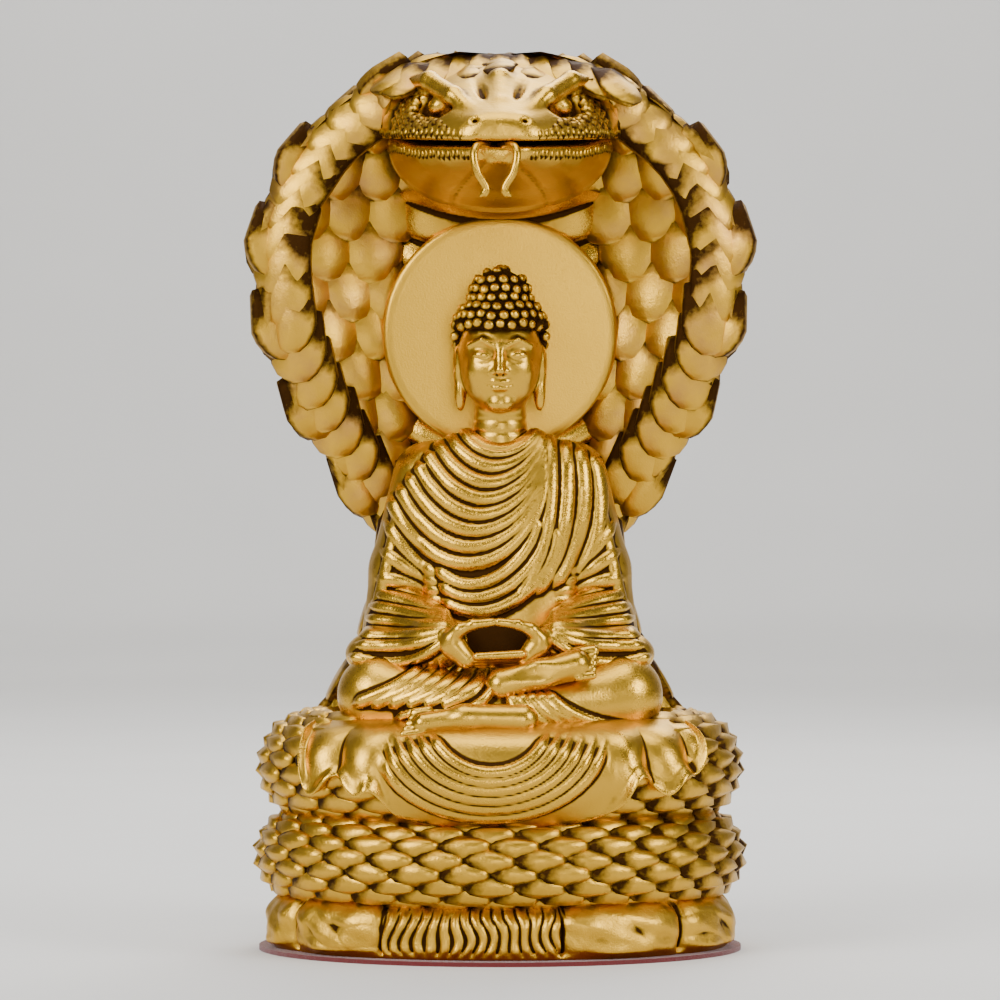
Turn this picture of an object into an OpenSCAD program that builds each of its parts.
// Seated meditating figure under a cobra's hood, on two coils of the snake and a ring of rocks.
// It is a set of hollow brass castings, joined by spigots, dowels, screws and one long rod,
// and closed below by a screwed plate and a felt pad. Millimetres, +Z up, figure facing -Y.
// The origin is the middle of the felt pad's underside.

/* [Base] */
// Width of the rock ring
base_w = 110; // [107:1:112]
// Depth of the rock ring
base_d = 83; // [81:1:85]
// Height of the rock ring's upper edge
rock_top = 14.8; // [14.4:0.1:15.2]
// Thickness of the felt pad
felt_t = 1; // [0.8:0.1:1.2]
// Thickness of the closing plate
plate_t = 1.5; // [1:0.1:1.8]

/* [Coils] */
// Radius of the lower coil over its scales
lower_r = 9.4; // [9.2:0.1:9.6]
// Radius of the upper coil over its scales
upper_r = 11.2; // [11:0.1:11.4]
// Wall of the hollow castings
wall = 2.4; // [2:0.1:3]

/* [Hood] */
// Half the width of the hood at its widest
hood_half_w = 56; // [54:0.5:57]
// Height at which the hood is widest
hood_wide_z = 158; // [156:1:160]
// Height of the hood's top
hood_top = 206; // [205:0.5:208]
// Half the width where the hood meets the trunk
neck_half_w = 27.5; // [27:0.5:29]

/* [Halo] */
// Radius of the halo disc
halo_r = 27.4; // [27:0.1:27.8]
// Thickness of the halo disc
halo_t = 3; // [2.5:0.1:3]
// Height of the halo's middle
halo_z = 141.8; // [141:0.2:143]

/* [Fasteners] */
// Radius of the long rod
rod_r = 3; // [2.5:0.1:3]
// Radius of the plate screws
screw_r = 1.5; // [1.2:0.1:1.6]
// Radius of the dowels between the castings
dowel_r = 2; // [1.8:0.1:2.2]

/* [Hidden] */

// Steps round a coil, and round its section
coil_steps = 44;
section_steps = 16;
// Steps from the outside of a coil's section to each edge of its open inner side
open_steps = 6;
// Running clearance of a spigot, rod or dowel in its hole
fit = 0.05;

base_a = base_w / 2;
base_b = base_d / 2;
lower_z = rock_top + 7.2;
lower_a = base_a - lower_r;
lower_b = base_b - lower_r;
coil_seat_z = lower_z + lower_r - 0.2;
upper_a = base_a - 0.6 - upper_r;
upper_b = base_b - 0.6 - upper_r;
upper_z = coil_seat_z + upper_r - 0.2;
deck_top = upper_z + 7.8;
deck_t = 3;
rock_deck_t = 3;
// Back of the figure, where it meets the trunk
back_y = 10;
rod_y = 28;
// Height of the joint between the trunk and the hood
neck_z = 94;
halo_y = back_y + 0.5;
neck_r = 4;
head_y = -3.5;

brass = "goldenrod";
dark_brass = "darkgoldenrod";

// ---- shapes shared by the castings

function bell(t) = 0.5 - 0.5 * cos(180 * min(1, max(0, t)));

function oval(a, b, n = 72) = [for (i = [0:n - 1]) [a * cos(360 * i / n), b * sin(360 * i / n)]];

// Hands its children over as one free-form casting, which is then bored
module cast() {
    resize([0, 0, 0]) union() children();
}

// Faces between m rings of n points; closed joins the last ring to the first
function skin(n, m, closed) = [for (i = [0:m - (closed ? 1 : 2)]) for (j = [0:n - 1])
    let (k = (j + 1) % n, a = i * n, b = ((i + 1) % m) * n)
    each [[a + j, b + j, b + k], [a + j, b + k, a + k]]];

module loft(rings) {
    n = len(rings[0]);
    m = len(rings);
    caps = [[for (j = [0:n - 1]) j], [for (j = [n - 1:-1:0]) (m - 1) * n + j]];
    polyhedron([for (r = rings) each r], concat(caps, skin(n, m, false)));
}

module closed_sweep(rings) {
    polyhedron([for (r = rings) each r], skin(len(rings[0]), len(rings), true));
}

// A point of a coil's section: turn is the place round the coil, swing the angle from the outside
function coil_point(a, b, z, r, turn, swing) =
    let (out = [cos(turn) / a, sin(turn) / b], n = out / norm(out))
    [a * cos(turn) + n[0] * r * cos(swing), b * sin(turn) + n[1] * r * cos(swing), z + r * sin(swing)];

module coil_solid(a, b, z, r) {
    closed_sweep([for (i = [0:coil_steps - 1])
        [for (j = [0:section_steps - 1])
            coil_point(a, b, z, r, -360 * i / coil_steps, 360 * j / section_steps)]]);
}

// The coil as it is cast: a wall that stays open towards the middle of the ring
module coil_shell(a, b, z, r) {
    step = 360 / section_steps;
    closed_sweep([for (i = [0:coil_steps - 1]) let (turn = -360 * i / coil_steps) concat(
        [for (j = [-open_steps:open_steps]) coil_point(a, b, z, r, turn, step * j)],
        [for (j = [open_steps:-1:-open_steps]) coil_point(a, b, z, r - wall, turn, step * j)])]);
}

module ball(at, r, stretch = [1, 1, 1]) {
    translate(at) scale(stretch) sphere(r, $fn = 16);
}

// A limb or finger: a round tapered bar with ball ends
module limb(from, r_from, to, r_to, sides = 14) {
    along = (to - from) / norm(to - from);
    across = cross(abs(along[2]) < 0.9 ? [0, 0, 1] : [1, 0, 0], along);
    u = across / norm(across);
    v = cross(along, u);
    lean = asin((r_from - r_to) / norm(to - from));
    stations = concat([for (i = [0:3]) [from, r_from, -78 + (lean + 78) * i / 3]],
        [for (i = [0:3]) [to, r_to, lean + (78 - lean) * i / 3]]);
    loft([for (q = stations) [for (k = [0:sides - 1]) let (a = 360 * k / sides)
        q[0] + q[1] * (along * sin(q[2]) + cos(q[2]) * (u * cos(a) + v * sin(a)))]]);
}

// ---- base

// Places of the four screws that hold the closing plate
screw_places = [for (sx = [-1, 1]) for (sy = [-1, 1]) [sx * 33, sy * 20.5]];

module felt_pad() {
    color("crimson") linear_extrude(felt_t) polygon(oval(base_a + 0.4, base_b + 0.4));
}

module plate_outline(gap) {
    polygon(oval(base_a - 6 - gap, base_b - 6 - gap));
}

module base_plate() {
    color(dark_brass) difference() {
        translate([0, 0, felt_t]) linear_extrude(plate_t) plate_outline(0.1);
        for (p = screw_places) translate([p[0], p[1], felt_t]) {
            translate([0, 0, -1]) cylinder(h = plate_t + 2, r = screw_r + 0.15, $fn = 24);
            translate([0, 0, -0.01]) cylinder(h = 1.4, r1 = screw_r + 1.55, r2 = screw_r + 0.15, $fn = 24);
        }
    }
}

module plate_screws() {
    color("silver") for (p = screw_places) translate([p[0], p[1], felt_t]) {
        cylinder(h = 1.3, r1 = screw_r + 1.4, r2 = screw_r, $fn = 24);
        translate([0, 0, 1.2]) cylinder(h = 7, r = screw_r, $fn = 24);
    }
}

// Angles at which one rock ends and the next begins; water falls between water_from and the next
rock_edges = [0, 38, 72, 108, 144, 180, 208, 240, 285, 321, 360];
water_from = 240;
function rock_bulge(t) =
    let (i = max([for (k = [0:len(rock_edges) - 2]) t >= rock_edges[k] ? k : 0]),
        lo = rock_edges[i], hi = rock_edges[i + 1], s = (2 * t - lo - hi) / (hi - lo))
    lo == water_from ? 0.2 : 1.3 * (1 - pow(abs(s), 4));

// How far the rock's face stands back from the base's outline at a share of its height
function rock_inset(s) = s < 0.2 ? 1.5 - 4 * s : s < 0.7 ? 0.7 : 0.7 + 3.3 * pow((s - 0.7) / 0.3, 2);

module rock_form() {
    loft([for (s = [0, 0.2, 0.5, 0.7, 0.88, 1]) let (inset = 1.3 + rock_inset(s))
        [for (i = [0:59]) let (t = 6 * i, grow = rock_bulge(t) * (1 - 0.5 * s) - inset)
            [(base_a + grow) * cos(t), (base_b + grow) * sin(t), felt_t + s * (rock_top - felt_t)]]]);
}

module rock_base() {
    cavity_h = rock_top - rock_deck_t - felt_t;
    color(brass) difference() {
        cast() difference() {
            rock_form();
            coil_solid(lower_a, lower_b, lower_z, lower_r);
            translate([0, 0, felt_t - 1]) linear_extrude(plate_t + 1) plate_outline(0);
            translate([0, 0, felt_t + plate_t]) linear_extrude(cavity_h - plate_t) difference() {
                polygon(oval(base_a - 8, base_b - 8));
                for (p = screw_places) translate(p) circle(4, $fn = 16);
            }
        }
        translate([0, rod_y, -1]) cylinder(h = rock_top + 4, r = rod_r + 0.2, $fn = 32);
        for (p = screw_places) translate([p[0], p[1], -1]) cylinder(h = 11, r = screw_r, $fn = 24);
    }
}

// ---- coils

module rod_hole() {
    translate([0, rod_y, 5]) cylinder(h = deck_top + 20, r = rod_r + 0.2, $fn = 32);
}

module lower_coil() {
    color(brass) difference() {
        cast() intersection() {
            coil_shell(lower_a, lower_b, lower_z, lower_r);
            translate([-80, -80, 0]) cube([160, 160, coil_seat_z]);
        }
        rod_hole();
    }
}

// Screws that hold the figure down on the deck inside the upper coil
figure_screw_places = [[-12, -6], [12, -6]];

module upper_coil() {
    color(brass) difference() {
        cast() {
            intersection() {
                coil_shell(upper_a, upper_b, upper_z, upper_r);
                translate([-80, -80, coil_seat_z]) cube([160, 160, 60]);
            }
            translate([0, 0, deck_top - deck_t]) linear_extrude(deck_t)
                polygon(oval(upper_a - 6.8, upper_b - 6.8, coil_steps));
        }
        rod_hole();
        for (p = figure_screw_places) translate([p[0], p[1], deck_top - 10])
            cylinder(h = 12, r = 2.2, $fn = 24);
    }
}

// The tail lies in the groove between the coils, at the back
module tail_form() {
    rings = 14;
    loft([for (i = [0:rings]) let (s = i / rings, turn = 34 + 92 * s, r = 3.9 * sqrt(1 - 0.94 * s),
            reach = 6.6 - 6.2 * pow(1 - s, 3) + 1.6 * s)
        [for (j = [9:-1:0]) let (p = coil_point(lower_a, lower_b, 0, reach + r * cos(36 * j), turn, 0))
            [p[0], p[1], coil_seat_z - 0.4 + r * sin(36 * j)]]]);
}

module tail_tip() {
    color(brass) cast() difference() {
        tail_form();
        coil_solid(lower_a, lower_b, lower_z, lower_r);
        coil_solid(upper_a, upper_b, upper_z, upper_r);
    }
}

// ---- the figure; its heights are measured from the deck

module on_deck() {
    translate([0, 0, deck_top]) children();
}

// Room for the figure: in front of the trunk and above the deck
module figure_space() {
    translate([-60, -60, 0]) cube([120, 60 + back_y, 90]);
}

// How far round the upper coil's section the robe's hem hangs, by the place round the coil
function hem_swing(turn) = let (d = abs(turn - 270))
    d < 26 ? -66 + 22 * pow(d / 26, 2) : d < 34 ? -44 + 34 * bell((d - 26) / 8) : -10 + 26 * bell((d - 60) / 22);
skirt_t = 2.2;
skirt_from = 186;
skirt_to = 354;

module skirt_form() {
    steps = 30;
    loft([for (i = [0:steps]) let (turn = skirt_to + (skirt_from - skirt_to) * i / steps, low = hem_swing(turn),
            step = (128 - low) / 8)
        concat(
            [for (j = [0:8]) let (swing = low + step * j)
                coil_point(upper_a, upper_b, upper_z, upper_r + skirt_t - 1.5 * bell((swing - 25) / 50), turn, swing)],
            [for (j = [8:-1:0]) coil_point(upper_a, upper_b, upper_z, upper_r - 1, turn, low + step * j)])]);
}

module robe_skirt() {
    color(brass) cast() difference() {
        skirt_form();
        coil_solid(upper_a, upper_b, upper_z, upper_r);
        coil_solid(lower_a, lower_b, lower_z, lower_r);
        on_deck() legs_form();
    }
}

module legs_form() {
    intersection() {
        union() {
            for (side = [-1, 1]) {
                limb([side * 10.88, -4, 9.43], 8.91, [side * 28.05, -15.95, 9.24], 9.51);
                limb([side * 26.86, -17.09, 8.69], 8.8, [side * 3.8, -27.78, 5.78], 6.44);
            }
            // The foot that lies on the other thigh, and the lower foot
            limb([0, -29.46, 11.13], 4.03, [20.2, -26.96, 15.87], 3.34);
            limb([8.21, -32.71, 3.75], 4.28, [-21.55, -32.71, 2.48], 3.06);
            ball([0, -7.78, 5.73], 12.07, [1.23, 1.23, 0.8]);
            ball([0, -21.77, 4.29], 10, [1.6, 0.89, 0.75]);
        }
        figure_space();
    }
}

module crossed_legs() {
    color(brass) difference() {
        cast() difference() {
            on_deck() legs_form();
            coil_solid(upper_a, upper_b, upper_z, upper_r);
            // The hollow under the lap, open below
            ball([0, -8, deck_top - 1], 7, [1, 1, 1.2]);
        }
        for (p = figure_screw_places) translate([p[0], p[1], deck_top - 1]) cylinder(h = 9, r = 1.9, $fn = 24);
    }
}

// Sections of the trunk of the body: height, half width, front, back
body_sections = [[0, 19, -14, 9], [8, 18, -16, 10.3], [18.8, 17.1, -16.4, 10.8], [28, 17, -15.5, 11], [38, 18.5, -14.5, 11],
    [48, 21, -14, 11], [56, 22, -12.5, 11], [61, 21, -10.5, 10.7], [64.5, 17.5, -9, 9], [67.3, 12.5, -7.5, 7.5],
    [69, 8, -6, 5]];

module torso_form() {
    intersection() {
        union() {
            loft([for (q = body_sections) [for (i = [0:27]) let (t = 360 * i / 28, c = cos(t), s = sin(t))
                [q[1] * sign(c) * pow(abs(c), 0.8),
                    (q[2] + q[3]) / 2 + (q[3] - q[2]) / 2 * sign(s) * pow(abs(s), 0.8), q[0]]]]);
            for (side = [-1, 1]) {
                limb([side * 16.85, 0.72, 58.6], 8.43, [side * 22.8, -0.6, 35.93], 7.63, 15.82);
                limb([side * 21.98, -0.2, 38.25], 7.05, [side * 24.59, -1.08, 21.9], 7.66, 15.99);
            }
        }
        figure_space();
    }
}

neck_socket = 58.5;

module torso_robe() {
    color(brass) difference() {
        cast() difference() {
            on_deck() torso_form();
            on_deck() legs_form();
            halo_pocket();
            // Hollow, open at the back to the trunk's front
            on_deck() for (h = [22:6:46]) ball([0, 5, h], 10, [1, 1, 1]);
        }
        on_deck() translate([0, -1, neck_socket]) cylinder(h = 20, r = neck_r + fit, $fn = 32);
    }
}

module sleeve_form(side) {
    limb([side * 23.38, -2.96, 27.48], 6.79, [side * 11.64, -21.73, 21.58], 4.97);
    limb([side * 25.24, -3.88, 21.06], 7.32, [side * 31.86, -7.56, 16.66], 5.35);
    hull() {
        ball([side * 23.39, -5.69, 25.53], 6.1);
        ball([side * 30.57, -14.04, 18.03], 4.09);
        ball([side * 13.2, -22.63, 19.79], 4.61);
    }
}

module sleeve(side) {
    color(brass) cast() difference() {
        on_deck() intersection() {
            sleeve_form(side);
            figure_space();
        }
        on_deck() torso_form();
        on_deck() legs_form();
    }
}

// The oval that the thumbs and fingers make: its half width, and its half heights below and above
hands_x = -1;
function hand_point(t) = [hands_x + 10.2 * cos(t), -28.4 + 0.9 * sin(t), 21.6 + (sin(t) > 0 ? 3.4 : 3.9) * sin(t)];
function hand_r(t) = 1.65 - 0.35 * sin(t) + 0.6 * pow(abs(cos(t)), 3);

module hands_form() {
    steps = 24;
    sides = 10;
    closed_sweep([for (i = [0:steps - 1])
        let (t = 360 * i / steps, out = [3.6 * cos(t), 10.2 * sin(t)], n = out / norm(out))
        [for (k = [0:sides - 1]) let (a = 360 * k / sides)
            hand_point(t) + hand_r(t) * [n[0] * cos(a), sin(a), n[1] * cos(a)]]]);
    for (side = [-1, 1]) limb([hands_x + side * 8, -25.5, 18.4], 2.6, [hands_x + side, -27, 17], 2.2, 10);
}

module joined_hands() {
    color(brass) cast() difference() {
        on_deck() hands_form();
        on_deck() torso_form();
        on_deck() legs_form();
        for (side = [-1, 1]) on_deck() sleeve_form(side);
    }
}

module head_form() {
    ball([0, head_y, 86.5], 9.6, [1, 1.05, 1]);
    hull() {
        ball([0, head_y, 84.5], 9);
        ball([0, head_y - 2.4, 78.5], 6.6, [1, 0.95, 0.75]);
    }
    limb([0, -2, 77], 6, [0, -1, 68], 6.4);
    for (side = [-1, 1]) hull() {
        ball([side * 9.6, -1.6, 86], 1.7, [0.7, 1, 1.6]);
        ball([side * 9.2, -2.2, 76.5], 1.4, [0.8, 1, 1.4]);
    }
}

module head() {
    color(brass) on_deck() {
        cast() difference() {
            head_form();
            torso_form();
        }
        translate([0, -1, neck_socket + 0.5]) cylinder(h = 14, r = neck_r, $fn = 32);
    }
}

module hair_form() {
    hull() {
        ball([0, head_y + 1, 91.5], 10.8, [1, 1.03, 0.88]);
        ball([0, head_y + 3, 84.5], 9.6, [1, 0.85, 0.9]);
    }
    hull() {
        ball([0, head_y + 1, 97.5], 7.6, [1, 1, 0.8]);
        ball([0, head_y + 1, 104.3], 2.8);
    }
}

module hair_cap() {
    color(dark_brass) cast() on_deck() difference() {
        hair_form();
        head_form();
        // The forehead is left bare below the hairline
        translate([-20, head_y - 30, 70]) cube([40, 28, 22]);
    }
}

module halo_disc() {
    color("gold") translate([0, halo_y + halo_t, halo_z]) rotate([90, 0, 0]) union() {
        cylinder(h = halo_t - 1, r = halo_r, $fn = 96);
        translate([0, 0, halo_t - 1]) cylinder(h = 1, r1 = halo_r, r2 = halo_r - 1.2, $fn = 96);
        translate([0, 0, -6]) cylinder(h = 6.5, r = dowel_r, $fn = 32);
    }
}

// ---- the snake

// Half the trunk's width, and the place of its back, by height
trunk_low_z = 52;
function trunk_half_w(z) = neck_half_w + 15 * pow((neck_z - z) / (neck_z - trunk_low_z), 1.9);
function trunk_back(z) = 25 + 14.5 * pow((neck_z - z) / (neck_z - trunk_low_z), 0.9);

module trunk_form() {
    loft([for (z = [46, trunk_low_z, 58, 64, 70, 77, 85, neck_z])
        let (zz = max(z, trunk_low_z), w = trunk_half_w(zz), back = trunk_back(zz) - back_y - 1.5)
        concat(
            [for (i = [0:14]) let (t = 180 * i / 14) [w * cos(t), back_y + 1.5 + back * pow(sin(t), 0.8), z]],
            [[-w, back_y + 0.2, z], [w, back_y + 0.2, z]])]);
}

module trunk() {
    color(brass) difference() {
        cast() difference() {
            trunk_form();
            coil_solid(upper_a, upper_b, upper_z, upper_r);
            translate([-60, -60, 40]) cube([120, 120, deck_top - 40]);
            // Hollow on each side of the rod's boss, open below
            for (side = [-1, 1]) limb([side * 21, 20, deck_top - 4], 7, [side * 13, 18, neck_z - 16], 4.5);
        }
        translate([0, rod_y, 40]) cylinder(h = 30, r = rod_r + fit, $fn = 32);
        for (side = [-1, 1]) translate([side * 12, 20.5, neck_z - 8])
            cylinder(h = 10, r = dowel_r + fit, $fn = 24);
    }
}

// The hood's outline, the line of its middle, and how far its sides curl forward, by height
hood_bend_z = 150;
function hood_half(z) = z > hood_wide_z
    ? hood_half_w * sqrt(max(0, 1 - pow((z - hood_wide_z) / (hood_top - hood_wide_z), 2)))
    : neck_half_w + (hood_half_w - neck_half_w) * cos(90 * (hood_wide_z - z) / (hood_wide_z - neck_z));
function hood_middle(z) = z < hood_bend_z ? 17 + 2 * (z - neck_z) / (hood_bend_z - neck_z)
    : 19 - 26 * (1 - sqrt(max(0, 1 - pow((z - hood_bend_z) / (hood_top + 1 - hood_bend_z), 2))));
function hood_curl(z) = z < hood_bend_z ? 2 + 20 * bell((z - neck_z) / (hood_bend_z - neck_z))
    : 22 - 14 * pow((z - hood_bend_z) / (hood_top - hood_bend_z), 2);
function hood_front(s, z) = hood_middle(z) - hood_curl(z) * pow(abs(s), 2.2);
function hood_back(s, z) = hood_front(s, z) + 2.6 + 4.6 * (1 - s * s);

// Levels of the hood's sections, closer together towards the top
hood_levels = [for (i = [0:19]) neck_z + (hood_top - 0.6 - neck_z) * sin(90 * i / 19)];

module hood_form() {
    loft([for (z = hood_levels) let (w = hood_half(z)) concat(
        [for (i = [-6:6]) let (s = sin(15 * i)) [s * w, hood_front(s, z), z]],
        [for (i = [6:-1:-6]) let (s = sin(15 * i)) [s * w, hood_back(s, z), z]])]);
}

module halo_pin_hole() {
    translate([0, halo_y, halo_z]) rotate([-90, 0, 0]) cylinder(h = 20, r = dowel_r + fit, $fn = 24);
}

module hood() {
    color(brass) difference() {
        cast() hood_form();
        halo_pin_hole();
        for (side = [-1, 1]) translate([side * 12, 20.5, neck_z - 1])
            cylinder(h = 9, r = dowel_r + fit, $fn = 24);
    }
}

module hood_dowels() {
    color("silver") for (side = [-1, 1]) translate([side * 12, 20.5, neck_z - 7.5])
        cylinder(h = 15, r = dowel_r, $fn = 24);
}

// The belly plates: bands that roll down the hood's middle and forward under the jaw
scute_step = 8;
scutes_top = neck_z + 81;
function scute_roll(z) = let (f = (z - neck_z) / scute_step) 1.3 * sin(180 * pow(f - floor(f), 0.7));
function scute_front(x, z) = hood_front(x / hood_half(z), z) - 2.6 - scute_roll(z)
    - 15 * pow(max(0, (z - scutes_top + 14) / 14), 2);

module scutes_form() {
    loft([for (z = [neck_z + 0.5:scute_step / 4:scutes_top])
        let (w = 19 + 6 * min(1, (z - neck_z) / 26))
        concat([for (i = [-5:5]) [i * w / 5, scute_front(i * w / 5, z) + 1.6 * pow(i / 5, 4), z]],
            [[w, 32, z], [-w, 32, z]])]);
}

// Everything behind the hood's front, so that a piece in front of it stops there
module behind_hood() {
    loft([for (z = hood_levels) let (w = hood_half(z)) concat(
        [for (i = [-6:6]) let (s = sin(15 * i)) [s * w, hood_front(s, z) + 0.5, z]],
        [[w, 60, z], [-w, 60, z]])]);
}

module halo_pocket() {
    translate([0, halo_y - 2, halo_z]) rotate([-90, 0, 0]) cylinder(h = halo_t + 2.02, r = halo_r + 0.5, $fn = 72);
}

module belly_scutes() {
    color(dark_brass) difference() {
        cast() difference() {
            scutes_form();
            hood_form();
            behind_hood();
            halo_pocket();
            on_deck() torso_form();
        }
        halo_pin_hole();
    }
}

// The line of the mouth rises from the snout to the back of the head
snout_z = 182.5;
snout_y = -37.5;
function mouth_z(y) = snout_z + 0.1 * (y - snout_y);
// Sections of the snake's head along Y: half width, and height above the mouth
head_sections = [[9, 28.5, 20.6], [2, 29, 21.6], [-6, 27.5, 20.9], [-13, 25, 18.6], [-20, 22, 15.4], [-26, 18, 12],
    [-31, 13.5, 9], [-35, 9, 6.4], [snout_y, 5, 3.8]];
// Sections of the jaw along Y: half width, and depth below the mouth
jaw_sections = [[4, 26, 17.5], [-3, 25.5, 16], [-10, 23, 13], [-17, 19.5, 10], [-24, 14.5, 7.4], [-29.5, 9.5, 5.2],
    [-33.5, 4.5, 3.2]];

module snake_head_form() {
    loft([for (q = head_sections) [for (i = [0:12]) let (t = 15 * i)
        [q[1] * cos(t), q[0], mouth_z(q[0]) + (q[2] - 0.1 * (q[0] - snout_y)) * pow(sin(t), 0.75)]]]);
}

module snake_head() {
    color(brass) cast() difference() {
        snake_head_form();
        hood_form();
        behind_hood();
        // Hollow, open to the mouth and closed by the jaw
        limb([-11, -5, snout_z + 6], 7, [11, -5, snout_z + 6], 7.01);
        limb([0, -8, snout_z + 4], 7, [0, -20, snout_z + 3], 5);
    }
}

// The jaw meets the head at the back and opens a little towards the snout
module jaw_form() {
    loft([for (q = jaw_sections) let (top = mouth_z(q[0]) - 1.2 * bell((-6 - q[0]) / 12))
        [for (i = [12:-1:0]) let (t = 15 * i) [q[1] * cos(t), q[0], top - q[2] * pow(sin(t), 0.75)]]]);
}

module lower_jaw() {
    color(brass) cast() difference() {
        jaw_form();
        hood_form();
        behind_hood();
        scutes_form();
    }
}

// One tine of the forked tongue, from the mouth down the front of the jaw, as heights from the mouth
tine_path = [[1.5, -32, -0.6], [4, -37, -0.9], [4.7, -38.6, -2.6], [4.6, -39, -5], [3.9, -39.2, -7.4], [2.2, -39.2, -9.6],
    [1.8, -39.2, -10.8], [3.3, -39.4, -12.2]];
tongue_x = -1;

// A round bar through the points of a path that runs downwards and forwards, in the plane's frame
module tine(path, r, sides = 8) {
    last = len(path) - 1;
    loft([for (i = [0:last])
        let (d = path[min(last, i + 1)] - path[max(0, i - 1)], along = d / norm(d),
            across = cross([0, 1, 0.4], along), u = across / norm(across), v = cross(along, u))
        [for (k = [0:sides - 1]) path[i] + r * (u * cos(360 * k / sides) + v * sin(360 * k / sides))]]);
}

module tongue() {
    color("gold") cast() difference() {
        translate([tongue_x, 0, snout_z]) for (side = [0, 1]) mirror([side, 0, 0]) tine(tine_path, 0.95);
        jaw_form();
        snake_head_form();
    }
}

// ---- fasteners

module long_rod() {
    color("silver") translate([0, rod_y, 6]) cylinder(h = 63, r = rod_r, $fn = 32);
}

module rod_washer() {
    color("silver") translate([0, rod_y, rock_top - rock_deck_t - 1.2]) difference() {
        cylinder(h = 1.2, r = 5, $fn = 48);
        translate([0, 0, -1]) cylinder(h = 4, r = rod_r + 0.2, $fn = 32);
    }
}

module rod_nut() {
    color("silver") translate([0, rod_y, rock_top - rock_deck_t - 6.2]) difference() {
        cylinder(h = 5, r = 5, $fn = 6);
        translate([0, 0, -1]) cylinder(h = 7, r = rod_r + fit, $fn = 32);
    }
}

module figure_screws() {
    color("silver") for (p = figure_screw_places) translate([p[0], p[1], deck_top - deck_t]) {
        translate([0, 0, -2.8]) cylinder(h = 2.8, r = 3.5, $fn = 32);
        translate([0, 0, -0.1]) cylinder(h = deck_t + 7.1, r = 1.85, $fn = 24);
    }
}

felt_pad();
base_plate();
plate_screws();
rock_base();
lower_coil();
upper_coil();
tail_tip();
robe_skirt();
crossed_legs();
torso_robe();
sleeve(1);  // left_sleeve
sleeve(-1);  // right_sleeve
joined_hands();
head();
hair_cap();
halo_disc();
trunk();
belly_scutes();
hood();
snake_head();
lower_jaw();
tongue();
long_rod();
rod_nut();
rod_washer();
figure_screws();
hood_dowels();
